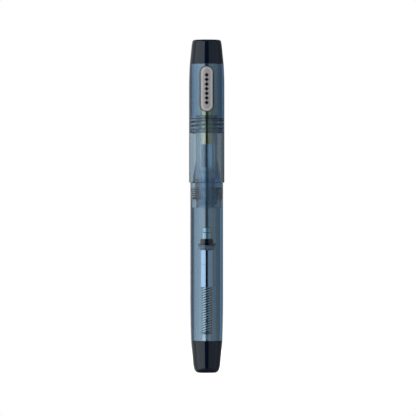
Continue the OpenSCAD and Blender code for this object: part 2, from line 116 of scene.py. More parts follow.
# %% [markdown]
# ## Turning a piece on the lathe
# Almost every piece of a pen is turned, so one helper makes them all. An outline of (radius, height)
# points becomes a wire, the corners that name a third number are rounded with a vertex bevel, and a spin
# takes the wire round the axis. Spinning is better than stacking cylinders: one clean skin is what
# glass-like materials need, because light bends at every surface that it crosses.


# %% The lathe
ROUND = 144        # steps round a wide piece that is seen through
ROUND_SMALL = 96   # steps round a small or an opaque one
SHARP = 28         # edges that turn by more degrees than this stay crisp
CORNER_STEPS = 5


def smooth(mesh, angle=SHARP):
    mesh.shade_smooth()
    mesh.set_sharp_from_angle(angle=radians(angle))


def finish_piece(bm, name, material, body, replaces=(), angle=SHARP):
    """Makes the bmesh an object that rides on body, and may stand for solid nodes."""
    mesh = bpy.data.meshes.new(name)
    bm.to_mesh(mesh)
    bm.free()
    smooth(mesh, angle)
    piece = bpy.data.objects.new(name, mesh)
    scene.collection.objects.link(piece)
    mesh.materials.append(material)
    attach(piece, body)
    if replaces:
        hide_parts(*replaces)
    return piece


def wire(outline, closed):
    """The outline as edges in the plane y = 0, with its named corners rounded."""
    bm = bmesh.new()
    corners = [bm.verts.new((p[0] * MM, 0, p[1] * MM)) for p in outline]
    for a, b in zip(corners, corners[1:] + corners[:1] if closed else corners[1:]):
        bm.edges.new((a, b))
    for size in sorted({p[2] for p in outline if len(p) > 2}):
        group = [v for v, p in zip(corners, outline) if len(p) > 2 and p[2] == size]
        bmesh.ops.bevel(bm, geom=group, offset=size * MM, offset_type="OFFSET",
                        segments=CORNER_STEPS, profile=0.5, affect="VERTICES", material=-1,
                        clamp_overlap=True)
    return bm


def slice_heights(bm, z0, z1, step):
    """Cuts the edges between two heights into lengths of about step, ready for a thread."""
    for e in bm.edges[:]:
        bottom, top = sorted(v.co.z / MM for v in e.verts)
        if bottom >= z0 - 0.01 and top <= z1 + 0.01 and top - bottom > step:
            bmesh.ops.subdivide_edges(bm, edges=[e], cuts=int((top - bottom) / step))


def turn(bm, segments):
    bmesh.ops.spin(bm, geom=bm.verts[:] + bm.edges[:], cent=(0, 0, 0), axis=(0, 0, 1), angle=tau,
                   steps=segments, use_merge=True)
    bmesh.ops.remove_doubles(bm, verts=bm.verts[:], dist=0.002 * MM)
    bmesh.ops.recalc_face_normals(bm, faces=bm.faces[:])
    return bm


def turned(outline, closed=False, segments=ROUND):
    return turn(wire(outline, closed), segments)


probe = turned([(0, 0), (1, 0, 0.2), (1, 1, 0.2), (0, 1)], segments=24)
print("a test button has", len(probe.faces), "faces and is closed:",
      all(e.is_manifold for e in probe.edges))
probe.free()

# %% [markdown]
# ## Cutting a screw thread
# A thread is a wave that climbs as it goes round. The lathe first leaves a plain band with many fine
# rings; then each point of the band moves outwards by how far it is from the nearest root, measured
# along the helix. Several starts side by side make a thread that climbs fast, as on the piston's screw.
# The wave fades at both ends, as a real thread runs out.


# %% Threads
ROOT_HALF = 0.27   # half the groove's width, as a share of the pitch
FADE = 0.4         # height over which a thread runs out, in mm


def cut_thread(bm, z0, z1, r, depth, pitch, starts=1):
    """Raises crests of depth on the band of radius r between two heights."""
    lead = pitch * starts
    for v in bm.verts:
        x, y, z = v.co / MM
        reach = sqrt(x * x + y * y)
        if not (z0 < z < z1 and abs(reach - r) < 0.01):
            continue
        phase = (z - lead * atan2(y, x) / tau) / pitch % 1
        crest = min(1, abs(phase - 0.5) / ROOT_HALF)
        run_out = min(1, (z - z0) / FADE, (z1 - z) / FADE)
        wanted = r + depth * crest * run_out
        v.co.x *= wanted / reach
        v.co.y *= wanted / reach
    bm.normal_update()


SCREW_PITCH = 1.02
SCREW_STARTS = 4
print(f"the piston's screw climbs {SCREW_PITCH * SCREW_STARTS:.2f} mm a turn")

# %% [markdown]
# ## Materials
# A material here is a Principled shader with a little disturbance: fine polishing marks that vary the
# roughness, and a bump so slight that it only breaks the edge of a reflection. The marks read Object
# coordinates, so they stay on the piece as it turns.


# %% A helper for node materials
def new_material(name, roughness, spread, grain, stretch=(1, 1, 1), bump=0.0, **sockets):
    """A Principled material whose roughness varies by spread, with marks of grain size in mm."""
    material = bpy.data.materials.new(name)
    material.use_nodes = True
    nodes, links = material.node_tree.nodes, material.node_tree.links
    shader = nodes["Principled BSDF"]
    for key, value in sockets.items():
        shader.inputs[key.replace("_", " ")].default_value = value
    place = nodes.new("ShaderNodeTexCoord")
    mapping = nodes.new("ShaderNodeMapping")
    mapping.inputs["Scale"].default_value = stretch
    noise = nodes.new("ShaderNodeTexNoise")
    noise.inputs["Scale"].default_value = 1 / (grain * MM)
    noise.inputs["Detail"].default_value = 4
    spread_out = nodes.new("ShaderNodeMapRange")
    spread_out.inputs["To Min"].default_value = max(0, roughness - spread)
    spread_out.inputs["To Max"].default_value = roughness + spread
    links.new(place.outputs["Object"], mapping.inputs["Vector"])
    links.new(mapping.outputs["Vector"], noise.inputs["Vector"])
    links.new(noise.outputs["Fac"], spread_out.inputs["Value"])
    links.new(spread_out.outputs["Result"], shader.inputs["Roughness"])
    if bump:
        relief = nodes.new("ShaderNodeBump")
        relief.inputs["Strength"].default_value = bump
        relief.inputs["Distance"].default_value = 0.02 * MM
        links.new(noise.outputs["Fac"], relief.inputs["Height"])
        links.new(relief.outputs["Normal"], shader.inputs["Normal"])
    return material


def clear_resin(name, roughness, density, tint):
    """A see-through resin that soaks up light along the way through it."""
    material = new_material(name, roughness, roughness * 0.6, 1.2, Base_Color=(1, 1, 1, 1),
                            IOR=1.49, Transmission_Weight=1.0)
    nodes, links = material.node_tree.nodes, material.node_tree.links
    soak = nodes.new("ShaderNodeVolumeAbsorption")
    soak.inputs["Color"].default_value = tint
    soak.inputs["Density"].default_value = density
    links.new(soak.outputs["Volume"], nodes["Material Output"].inputs["Volume"])
    return material


# %% The pen's materials
SMOKE_BLUE = (0.12, 0.45, 0.65, 1)
smoke_blue = clear_resin("smoke_blue_resin", 0.004, 250, SMOKE_BLUE)
smoke_blue_cap = clear_resin("smoke_blue_cap_resin", 0.004, 325, SMOKE_BLUE)
smoke_blue_grip = clear_resin("smoke_blue_grip_resin", 0.004, 285, SMOKE_BLUE)
pale_clear = clear_resin("pale_clear_resin", 0.004, 20, (0.35, 0.55, 0.7, 1))
black_resin = new_material("black_resin", 0.05, 0.03, 0.8, Base_Color=(0.002, 0.005, 0.015, 1),
                           Specular_Tint=(0.84, 0.97, 1, 1), IOR=1.5)
bright_metal = new_material("bright_metal", 0.05, 0.02, 0.3, (1, 1, 0.15), 0.03,
                            Base_Color=(0.90, 0.91, 0.98, 1), Metallic=1.0)
satin_metal = new_material("satin_metal", 0.34, 0.06, 0.2, (1, 1, 0.3), 0.05,
                           Base_Color=(0.92, 0.95, 0.94, 1), Metallic=1.0)
turned_steel = new_material("turned_steel", 0.12, 0.05, 0.15, (0.3, 0.3, 1), 0.05,
                            Base_Color=(0.78, 0.84, 0.88, 1), Metallic=1.0)
brass = new_material("turned_brass", 0.3, 0.08, 0.2, (0.3, 0.3, 1), 0.1,
                     Base_Color=(0.80, 0.60, 0.28, 1), Metallic=1.0)
gold = new_material("nib_gold", 0.12, 0.04, 0.25, (1, 1, 0.2), 0.05,
                    Base_Color=(1.0, 0.77, 0.46, 1), Metallic=1.0)
black_rubber = new_material("black_rubber", 0.45, 0.08, 0.2, (1, 1, 1), 0.3,
                            Base_Color=(0.012, 0.012, 0.013, 1))
pale_silicone = new_material("pale_silicone", 0.35, 0.08, 0.3, (1, 1, 1), 0.2,
                             Base_Color=(0.72, 0.78, 0.83, 1), Transmission_Weight=0.25, IOR=1.41)
smoke_silicone = clear_resin("smoke_silicone", 0.01, 700, (0.12, 0.4, 0.62, 1))
waxy_plastic = new_material("waxy_plastic", 0.5, 0.05, 0.4, (1, 1, 1), 0.1,
                            Base_Color=(0.85, 0.85, 0.82, 1))
feed_plastic = clear_resin("feed_plastic", 0.01, 160, (0.2, 0.5, 0.7, 1))
plate_metal = new_material("plate_metal", 0.42, 0.1, 0.12, (1, 1, 0.3), 0.15,
                           Base_Color=(0.37, 0.365, 0.38, 1), Metallic=0.35)
rim_metal = new_material("rim_metal", 0.3, 0.08, 0.15, (1, 1, 1), 0.1,
                         Base_Color=(0.97, 0.97, 0.98, 1), Metallic=0.35)
# Black enamel for the lozenges; the same black also paints the shade round the plate's edge.
enamel_and_painted_shade = new_material("black_enamel_and_painted_shade", 0.15, 0.05, 0.2, (1, 1, 1), 0.1,
                      Base_Color=(0.008, 0.008, 0.01, 1))
print("materials:", len(bpy.data.materials))

# %% [markdown]
# ## The barrel
# The barrel is one clear tube with a bore for the ink. Below, a thinner neck carries the knob; above, a
# wider socket with a fine thread takes the section. The socket's thread is cut from the inside of the same
# skin, so the light that crosses it bends twice, as in the real pen.

# %% Barrel
BARREL_TAPER = 19.4
TAPER_TOP = BARREL_Z + BARREL_TAPER
SOCKET_R = 4.95
RING_SEAT_R = radius("section_ring") + 0.025
THREAD_Z = SECTION_Z + 3.3
THREAD_END = BARREL_TOP - 2
FINE_DEPTH = 0.16
FINE_PITCH = 0.82
SLICE = 0.1           # height of the rings that a fine thread is cut from
NECK_RING_Z = (NECK_Z + BARREL_Z) / 2


def barrel_outside(z):
    """The barrel's radius at a height: straight above, curving in towards the knob."""
    t = max(0, (TAPER_TOP - z) / BARREL_TAPER)
    return BARREL_R - (BARREL_R - JOINT_R) * t * t


def groove(centre_z, half, r_deep, r_face):
    """Outline points of a square groove, cut from r_face in to r_deep."""
    bottom, top = centre_z - half, centre_z + half
    return [(r_face, bottom), (r_deep, bottom), (r_deep, top), (r_face, top)]


taper = [(barrel_outside(z), z) for z in [BARREL_Z + BARREL_TAPER * i / 10 for i in range(1, 11)]]
profile = wire(
    [(BORE_R, NECK_Z, 0.1), (NECK_R, NECK_Z, 0.2)]
    + groove(NECK_RING_Z, 0.35, radius("neck_ring") - 0.62, NECK_R)
    + [(NECK_R, BARREL_Z, 0.1), (JOINT_R, BARREL_Z, 0.06)]
    + taper
    + [(BARREL_R, BARREL_TOP, 0.18), (SOCKET_R, BARREL_TOP, 0.1), (SOCKET_R, THREAD_END + 0.2),
       (SOCKET_R, THREAD_Z - 0.2), (RING_SEAT_R, THREAD_Z - 0.2, 0.2), (RING_SEAT_R, SECTION_Z - 0.2, 0.1),
       (BORE_R, SECTION_Z - 0.2, 0.05)],
    closed=True)
slice_heights(profile, THREAD_Z - 0.2, THREAD_END + 0.2, SLICE)
barrel = turn(profile, ROUND)
cut_thread(barrel, THREAD_Z, THREAD_END, SOCKET_R, FINE_DEPTH, FINE_PITCH)
barrel = finish_piece(barrel, "barrel_shell", smoke_blue, "pen_body", ["barrel"])
print("barrel faces:", len(barrel.data.polygons))

# %% [markdown]
# ## The section and the grip
# The grip is clear too. Its tail screws into the barrel, its outside flares down to the barrel like a
# trumpet so that the fingers stop there, and a short collar at the front carries the cap's thread.

# %% Grip
TAIL_R = 4.9
TAIL_ROOT = TAIL_R - FINE_DEPTH - 0.02
GRIP_BASE_R = radius("grip_section")
GRIP_R = 4.5
COLLAR_ROOT = 4.25
COLLAR_DEPTH = 0.33
COLLAR_PITCH = 1.6
COLLAR_Z = GRIP_TOP - 5.8
HOUSING_Z = low("nib_housing") - SEAT
HOUSING_R = radius("nib_housing") + SEAT
INK_R = 2.2
RING_Z = (low("section_ring") + high("section_ring")) / 2
RING_FACE = RING_SEAT_R - 0.05


def grip_outside(z):
    """The grip's radius at a height: a trumpet's flare, from the barrel's width to the grip's."""
    t = min(1, max(0, (z - BARREL_TOP - 0.2) / 10.7))
    return GRIP_R + (GRIP_BASE_R - GRIP_R) * (1 + cos(pi * t)) / 2


flare = [(grip_outside(z), z) for z in [BARREL_TOP + 0.3 + 10.6 * i / 14 for i in range(15)]]
profile = wire(
    [(INK_R, SECTION_Z, 0.1), (RING_FACE, SECTION_Z, 0.15)]
    + groove(RING_Z, 0.65, radius("section_ring") - 1.22, RING_FACE)
    + [(RING_FACE, THREAD_Z, 0.18), (TAIL_ROOT, THREAD_Z), (TAIL_ROOT, THREAD_END),
       (TAIL_R, THREAD_END), (TAIL_R, BARREL_TOP), (GRIP_BASE_R, BARREL_TOP, 0.08)]
    + flare
    + [(GRIP_R, COLLAR_Z, 0.14), (COLLAR_ROOT, COLLAR_Z, 0.08), (COLLAR_ROOT, GRIP_TOP, 0.28),
       (HOUSING_R, GRIP_TOP, 0.05), (HOUSING_R, HOUSING_Z, 0.05), (INK_R, HOUSING_Z, 0.05)],
    closed=True)
slice_heights(profile, THREAD_Z, THREAD_END, SLICE)
slice_heights(profile, COLLAR_Z + 0.11, GRIP_TOP - 0.13, 1.2 * SLICE)
grip = turn(profile, ROUND)
cut_thread(grip, THREAD_Z, THREAD_END, TAIL_ROOT, FINE_DEPTH, FINE_PITCH)
cut_thread(grip, COLLAR_Z + 0.3, GRIP_TOP - 0.3, COLLAR_ROOT, COLLAR_DEPTH, COLLAR_PITCH)
grip = finish_piece(grip, "grip_shell", smoke_blue_grip, "pen_body", ["grip_section"])
print("grip faces:", len(grip.data.polygons))

# %% The housing that holds the nib
SHANK_R = 2.5
NIB_Z = low("nib")
housing = turned(
    [(INK_R, HOUSING_Z + SEAT, 0.05), (HOUSING_R - SEAT, HOUSING_Z + SEAT, 0.15)]
    + groove(low("housing_ring") + 0.3, 0.35, radius("housing_ring") - 0.62, HOUSING_R - SEAT)
    + [(HOUSING_R - SEAT, GRIP_TOP, 0.1), (SHANK_R + SEAT, GRIP_TOP, 0.05), (SHANK_R + SEAT, NIB_Z - 0.02),
       (INK_R, NIB_Z - 0.02)],
    closed=True)
finish_piece(housing, "nib_housing_shell", pale_clear, "pen_body", ["nib_housing"])
print(f"nib housing from {HOUSING_Z + SEAT:.1f} to {GRIP_TOP:.1f} mm")

# %% [markdown]
# ## The seal rings
# A seal ring is a small circle taken round the axis: a torus. It is spun like the rest, because a circle
# made by `create_circle` keeps an even spacing round its section.


# %% Rings
def seal_ring(node, name, material, body):
    """A ring of round section that fills the node's box."""
    thick = (high(node) - low(node)) / 2
    bm = bmesh.new()
    middle = Vector(((radius(node) - thick) * MM, 0, (low(node) + thick) * MM))
    bmesh.ops.create_circle(bm, cap_ends=False, radius=thick * MM, segments=20,
                            matrix=Matrix.Translation(middle) @ Matrix.Rotation(radians(90), 4, "X"))
    finish_piece(turn(bm, ROUND_SMALL), name, material, body, [node], angle=60)


seal_ring("section_ring", "section_seal_ring", smoke_silicone, "pen_body")
seal_ring("housing_ring", "housing_seal_ring", smoke_silicone, "pen_body")
seal_ring("neck_ring", "neck_drag_ring", black_rubber, "pen_body")

# %% [markdown]
# ## The screw that moves the piston
# The spindle turns with the knob and never lifts. Its coarse thread has four starts, so one turn moves the
# piston four millimetres. At this size the thread is the liveliest thing in the barrel, so it is cut as a
# real helix and not left to a bump.

# %% Spindle
SPINDLE_R = radius("spindle")
SPINDLE_TOP = high("spindle")
SPINDLE_LOW = low("spindle")
BUSH_TOP = high("tail_bush")
BUSH_Z = low("tail_bush")
JOURNAL_R = 1.5
SCREW_DEPTH = 0.15
ROOT_R = SPINDLE_R - SCREW_DEPTH - 0.01
SPINDLE_THREAD_Z = BUSH_TOP + 0.05
profile = wire([(0, SPINDLE_LOW), (JOURNAL_R, SPINDLE_LOW, 0.15), (JOURNAL_R, SPINDLE_THREAD_Z),
                (ROOT_R, SPINDLE_THREAD_Z), (ROOT_R, SPINDLE_TOP, 0.2), (0, SPINDLE_TOP)], closed=False)
slice_heights(profile, SPINDLE_THREAD_Z, SPINDLE_TOP, 0.6 * SLICE)
spindle = turn(profile, 64)
cut_thread(spindle, SPINDLE_THREAD_Z + 0.2, SPINDLE_TOP - 0.3, ROOT_R, SCREW_DEPTH, SCREW_PITCH,
           SCREW_STARTS)
print(f"spindle from {SPINDLE_LOW:.1f} to {SPINDLE_TOP:.1f} mm")

# %% [markdown]
# ## Steel with painted shade in the roots
# Painted shade lies in the roots of the screw, and the crests stay bright. The thread is round, so how far a
# point is from the axis says how deep it lies: the Object coordinates are flattened along the axis, their
# length is taken, and a colour ramp turns that depth into painted shade or clean steel.

# %% The screw's steel
screw_steel = new_material("screw_steel", 0.31, 0.02, 0.15, (0.3, 0.3, 1), 0.05, Metallic=1.0)
nodes, links = screw_steel.node_tree.nodes, screw_steel.node_tree.links
place = nodes.new("ShaderNodeTexCoord")
flat = nodes.new("ShaderNodeVectorMath")
flat.operation = "MULTIPLY"
flat.inputs[1].default_value = (1, 1, 0)
off_axis = nodes.new("ShaderNodeVectorMath")
off_axis.operation = "LENGTH"
crest_share = nodes.new("ShaderNodeMapRange")
crest_share.inputs["From Min"].default_value = ROOT_R * MM
crest_share.inputs["From Max"].default_value = (ROOT_R + SCREW_DEPTH) * MM
# Painted shade: the colour ramp darkens the steel towards the thread's roots, where shade falls between the
# crests.
painted_root_shade = nodes.new("ShaderNodeValToRGB")
painted_root_shade.color_ramp.elements[0].position = 0.45
painted_root_shade.color_ramp.elements[0].color = (0.22, 0.24, 0.25, 1)
painted_root_shade.color_ramp.elements[1].position = 0.95
painted_root_shade.color_ramp.elements[1].color = (1.0, 1.0, 1.0, 1)
links.new(place.outputs["Object"], flat.inputs[0])
links.new(flat.outputs["Vector"], off_axis.inputs[0])
links.new(off_axis.outputs["Value"], crest_share.inputs["Value"])
links.new(crest_share.outputs["Result"], painted_root_shade.inputs["Fac"])
links.new(painted_root_shade.outputs["Color"], nodes["Principled BSDF"].inputs["Base Color"])
finish_piece(spindle, "spindle_screw", screw_steel, "knob", ["spindle"], angle=25)
print("grease between", round(ROOT_R, 2), "and", round(ROOT_R + SCREW_DEPTH, 2), "mm from the axis")

# %% [markdown]
# ## The bush
# A turned metal bush closes the barrel's tail and is the bearing that the spindle turns in. Its hub ends
# in a wide soft chamfer, which shows as a pale step below the screw.

# %% Bush
HUB_R = 2.3
bush = turned([(JOURNAL_R + RUN, BUSH_Z, 0.05), (NECK_R, BUSH_Z, 0.2), (NECK_R, NECK_Z, 0.05),
               (BORE_R - SEAT, NECK_Z, 0.02), (BORE_R - SEAT, BARREL_Z - 0.2, 0.2),
               (HUB_R, BARREL_Z - 0.2, 0.2), (HUB_R, BUSH_TOP - 0.8, 0.5),
               (HUB_R - 0.25, BUSH_TOP, 0.1), (JOURNAL_R + RUN, BUSH_TOP, 0.02)],
              closed=True, segments=ROUND_SMALL)
finish_piece(bush, "spindle_bush", satin_metal, "pen_body", ["tail_bush"])
print(f"bush from {BUSH_Z:.1f} to {BUSH_TOP:.1f} mm")

# %% [markdown]
# ## The piston
# From the knob upwards: a bright nut on the spindle, a ferrule, the black seal with its thin lip and its
# pale skirt, a nut that clamps the seal, and a small domed nut. Bright turned metal has a small break on
# every edge that catches the light, so each corner is rounded a little.

# %% Piston pieces
NUT_Z = low("piston_nut")
FERRULE_Z = low("piston_ferrule")
SEAL_Z = low("piston_seal")
CLAMP_Z = low("seal_clamp_nut")
TIP_Z = low("piston_tip")
TIP_TOP = high("piston_tip")
SLEEVE_R = radius("piston_ferrule")
NUT_BORE = SPINDLE_R + RUN
POST_R = 1.3
SPIGOT_R = 2.6        # the nut's end, which the ferrule is pushed on to
SPIGOT_LEN = 1.5
CORE_R = 2.57
SEAL_R = 2.65

nut = turned([(NUT_BORE, NUT_Z, 0.1), (SLEEVE_R, NUT_Z, 0.2), (SLEEVE_R, FERRULE_Z, 0.12),
              (SPIGOT_R, FERRULE_Z), (SPIGOT_R, FERRULE_Z + SPIGOT_LEN),
              (NUT_BORE, FERRULE_Z + SPIGOT_LEN)], closed=True, segments=ROUND_SMALL)
finish_piece(nut, "piston_nut_sleeve", bright_metal, "piston", ["piston_nut"])

KEY_SIZE = (1, 1.4, 3)
key = bmesh.new()
bmesh.ops.create_cube(key, size=1, matrix=Matrix.Translation((0, 3.4 * MM, (NUT_Z + 1.5) * MM))
                      @ Matrix.Diagonal((*(MM * side for side in KEY_SIZE), 1)))
bmesh.ops.bevel(key, geom=key.edges[:], offset=0.12 * MM, offset_type="OFFSET", segments=3, profile=0.5,
                affect="EDGES", material=-1)
finish_piece(key, "piston_key", bright_metal, "piston")

ferrule = turned([(SPIGOT_R + SEAT, FERRULE_Z, 0.02), (SLEEVE_R, FERRULE_Z, 0.12),
                  (SLEEVE_R, SEAL_Z, 0.2), (CORE_R, SEAL_Z, 0.02),
                  (CORE_R, FERRULE_Z + SPIGOT_LEN + SEAT),
                  (SPIGOT_R + SEAT, FERRULE_Z + SPIGOT_LEN + SEAT)], closed=True, segments=ROUND_SMALL)
finish_piece(ferrule, "piston_ferrule_sleeve", bright_metal, "piston", ["piston_ferrule"])

LIP_Z = SEAL_Z + 2.3
LIP_R = radius("piston_seal")
CORE_TOP = SEAL_Z + 2.02
seal = turned([(CORE_R, SEAL_Z), (SEAL_R, SEAL_Z, 0.05), (SEAL_R, LIP_Z - 0.25, 0.1),
               (LIP_R, LIP_Z - 0.1, 0.04), (LIP_R, LIP_Z + 0.1, 0.04), (SEAL_R, LIP_Z + 0.2, 0.15),
               (SEAL_R, CLAMP_Z - 0.9, 0.4), (2.35, CLAMP_Z, 0.2), (POST_R + SEAT, CLAMP_Z),
               (POST_R + SEAT, CORE_TOP), (CORE_R, CORE_TOP)], closed=True, segments=ROUND_SMALL)
finish_piece(seal, "piston_seal_rubber", black_rubber, "piston", ["piston_seal"])

skirt = turned([(SEAL_R + SEAT, SEAL_Z + 0.1, 0.03), (2.92, SEAL_Z + 0.1, 0.08),
                (BORE_R - 0.3, LIP_Z - 0.6, 0.08), (BORE_R - 0.3, LIP_Z - 0.4, 0.05),
                (SEAL_R + SEAT, LIP_Z - 0.3, 0.03)], closed=True, segments=ROUND_SMALL)
finish_piece(skirt, "piston_seal_skirt", pale_silicone, "piston", ["seal_skirt"])

CLAMP_R = 2.3
clamp = turned([(POST_R + SEAT, CLAMP_Z), (CLAMP_R, CLAMP_Z, 0.12), (CLAMP_R, TIP_Z, 0.3),
                (POST_R + SEAT, TIP_Z)], closed=True, segments=ROUND_SMALL)
finish_piece(clamp, "seal_clamp", satin_metal, "piston", ["seal_clamp_nut"])

TIP_R = 1.95
tip = turned([(0, TIP_Z + 1.02), (POST_R + SEAT, TIP_Z + 1.02), (POST_R + SEAT, TIP_Z),
              (TIP_R, TIP_Z, 0.22), (TIP_R, TIP_TOP, 0.35), (0, TIP_TOP)], segments=ROUND_SMALL)
finish_piece(tip, "piston_tip_nut", satin_metal, "piston", ["piston_tip"])
print(f"piston from {NUT_Z:.1f} to {TIP_TOP:.1f} mm")

# %% [markdown]
# ## The filler knob and the finial
# Both ends are black and polished. Their long sides are straight tapers and their ends round off softly,
# which is what bends the window-like highlight at the bottom. The corner is a large vertex bevel on the
# outline, so no extra points are needed.

# %% Black ends
KNOB_TOP = high("filler_knob")
CAVITY_R = NECK_R + 2 * RUN
INSERT_TOP = high("knob_insert")
INSERT_HOLE_R = 2.62
INSERT_HOLE_Z = 1.5
knob = turned([(0, 0), (4, 0, 0.6), (4.85, 0.75, 0.9), (5.42, 2.3, 1.2), (JOINT_R, KNOB_TOP, 0.08),
               (CAVITY_R, KNOB_TOP, 0.05), (CAVITY_R, INSERT_TOP, 0.1), (INSERT_HOLE_R, INSERT_TOP),
               (INSERT_HOLE_R, INSERT_HOLE_Z), (0, INSERT_HOLE_Z)])
finish_piece(knob, "filler_knob_shell", black_resin, "knob", ["filler_knob"])

FINIAL_R = radius("cap_finial")
STUD_R = 5.5
finial = turned([(0, STUD_TOP + SEAT), (STUD_R + SEAT, STUD_TOP + SEAT),
                 (STUD_R + SEAT, FINIAL_Z, 0.02), (FINIAL_R, FINIAL_Z, 0.06),
                 (FINIAL_R - 0.83, PEN_TOP - 1.6, 1.2), (5.75, PEN_TOP - 0.3, 0.5),
                 (5.1, PEN_TOP, 0.5), (0, PEN_TOP)])
finish_piece(finial, "cap_finial_shell", black_resin, "cap", ["cap_finial"])
print("knob radius at its joint:", round(JOINT_R, 2))

# %% [markdown]
# ## The cap
# The cap is the barrel's bigger brother: clear, with a wide mouth, a thread that meets the grip's collar,
# and a chamber over the nib. A shallow stadium-shaped recess in its front takes the name plate. The recess
# is cut with two Booleans: a prism keeps only the part of a thin shell that lies under the plate, and that
# patch is taken out of the cap. Cutting with a bent patch keeps the recess the same depth all over.

# %% Cap
CAP_TAPER = 9.8
CAP_TOP_R = radius("cap_finial")
CHAMBER_R = 4.5
CHAMBER_TOP = STUD_TOP - 2
CAP_THREAD_R = 4.65
STEP_Z = high("cap_seal") + RUN
CAP_BORE_R = GRIP_BASE_R + 0.15
SHOULDER_UNDER = COLLAR_Z - 0.2


def cap_outside(z):
    """The cap's radius at a height: straight below, curving in towards the finial."""
    t = max(0, (z - FINIAL_Z + CAP_TAPER) / CAP_TAPER)
    return CAP_R - (CAP_R - CAP_TOP_R) * t * t


cap_taper = [(cap_outside(z), z)
             for z in [FINIAL_Z - CAP_TAPER + CAP_TAPER * i / 10 for i in range(10)]]
profile = wire(
    [(0, CHAMBER_TOP), (CHAMBER_R, CHAMBER_TOP, 0.8), (CHAMBER_R, STEP_Z),
     (CAP_THREAD_R, STEP_Z, 0.02), (CAP_THREAD_R, GRIP_TOP - 0.2), (CAP_THREAD_R, COLLAR_Z + 0.1),
     (CAP_THREAD_R, SHOULDER_UNDER, 0.45), (CAP_BORE_R, SHOULDER_UNDER, 0.5),
     (CAP_BORE_R, CAP_Z, 0.1), (CAP_R, CAP_Z, 0.2)]
    + cap_taper
    + [(CAP_TOP_R, FINIAL_Z, 0.04), (STUD_R, FINIAL_Z, 0.02), (STUD_R, STUD_TOP, 0.3), (0, STUD_TOP)],
    closed=False)
slice_heights(profile, COLLAR_Z + 0.1, GRIP_TOP - 0.2, 1.2 * SLICE)
cap = turn(profile, ROUND)
cut_thread(cap, COLLAR_Z + 0.3, GRIP_TOP - 0.3, CAP_THREAD_R, COLLAR_DEPTH, COLLAR_PITCH)
cap = finish_piece(cap, "cap_shell", smoke_blue_cap, "cap", ["cap_tube"])
print("cap faces before the recess:", len(cap.data.polygons))


# %% The recess for the plate
PLATE_LOW = low("name_plate")
PLATE_HIGH = high("name_plate")
PLATE_MID = (PLATE_LOW + PLATE_HIGH) / 2
PLATE_W = 2 * radius("name_plate")
PLATE_H = PLATE_HIGH - PLATE_LOW
PLATE_T = 0.6
PLATE_GAP = 0.3


def stadium(bm, width, height, y, steps=24):
    """A flat stadium in the plane y, as one face."""
    half = (height - width) / 2
    points = []
    for i in range(2 * steps + 2):
        top = i <= steps
        a = pi * (i if top else i - 1) / steps
        points.append((width / 2 * cos(a), PLATE_MID + (half if top else -half) + width / 2 * sin(a)))
    return bm.faces.new([bm.verts.new((x * MM, y * MM, z * MM)) for x, z in points])


def extrude(bm, faces, up):
    """Extrudes the faces by up mm along y, and returns the new points."""
    grown = bmesh.ops.extrude_face_region(bm, geom=faces)
    points = [g for g in grown["geom"] if isinstance(g, bmesh.types.BMVert)]
    bmesh.ops.translate(bm, vec=(0, up * MM, 0), verts=points)
    return points


def boolean(target, tool, operation):
    """Applies a Boolean to the target's mesh and leaves no modifier on it."""
    cut = target.modifiers.new("cut", "BOOLEAN")
    cut.operation = operation
    cut.solver = "EXACT"
    cut.object = tool
    done = bpy.data.meshes.new_from_object(target.evaluated_get(bpy.context.evaluated_depsgraph_get()))
    target.modifiers.remove(cut)
    done.name = target.data.name
    target.data = done
    smooth(done)


def loose(bm, name):
    """Makes the bmesh an object that is not a piece: a cutter, or the floor."""
    mesh = bpy.data.meshes.new(name)
    bm.to_mesh(mesh)
    bm.free()
    made = bpy.data.objects.new(name, mesh)
    scene.collection.objects.link(made)
    return made


prism = bmesh.new()
face = stadium(prism, PLATE_W + 2 * PLATE_GAP, PLATE_H + 2 * PLATE_GAP, -CAP_R - 1)
extrude(prism, [face], CAP_R - 1)
bmesh.ops.recalc_face_normals(prism, faces=prism.faces[:])
prism = loose(prism, "prism")
heights = [PLATE_LOW - 1 + (PLATE_H + 2) * i / 24 for i in range(25)]
shell = turned([(cap_outside(z) - PLATE_T - SEAT, z) for z in heights]
               + [(CAP_R + 1, heights[-1]), (CAP_R + 1, heights[0])], closed=True)
shell = loose(shell, "shell")
boolean(shell, prism, "INTERSECT")
boolean(cap, shell, "DIFFERENCE")
for helper in (prism, shell):
    bpy.data.objects.remove(helper)
print("cap faces with the recess:", len(cap.data.polygons))

# %% [markdown]
# ## The cap's soft ring
# A flat ring sits in the step above the cap's thread. The grip's front edge presses on it when the cap is
# closed, so the nib doesn't dry out. The nib has to pass through it, which sets its bore.

# %% Soft ring
SOFT_R = radius("cap_seal")
SOFT_BORE_R = radius("nib") + 0.3
cap_ring = turned([(SOFT_BORE_R, low("cap_seal"), 0.1), (SOFT_R, low("cap_seal"), 0.1),
                   (SOFT_R, high("cap_seal"), 0.1), (SOFT_BORE_R, high("cap_seal"), 0.1)],
                  closed=True, segments=ROUND_SMALL)
finish_piece(cap_ring, "cap_soft_ring", smoke_silicone, "cap_carrier", ["cap_seal"])
print("the nib clears the soft ring by", round(SOFT_BORE_R - radius("nib"), 2), "mm")

# %% [markdown]
# ## The name plate
# The plate is modelled flat and then laid on the curved cap, as a metalworker would do it: a satin field,
# a raised bright rim and a row of fine beads inside the rim. A thin black sheet under its edge paints the
# shade round its outline.
# Where a maker would put a name, there is a chain of enamelled lozenges. `lay_on_cap` reads a point's y as
# its height above the cap's recess and pushes it out along the cap's own outline.


# %% Plate helpers
def lay_on_cap(bm):
    """Bends what was made flat on to the curve of the cap."""
    for v in bm.verts:
        x, up, z = v.co / MM
        reach = cap_outside(z) - PLATE_T + up
        v.co.y = -sqrt(reach * reach - x * x) * MM


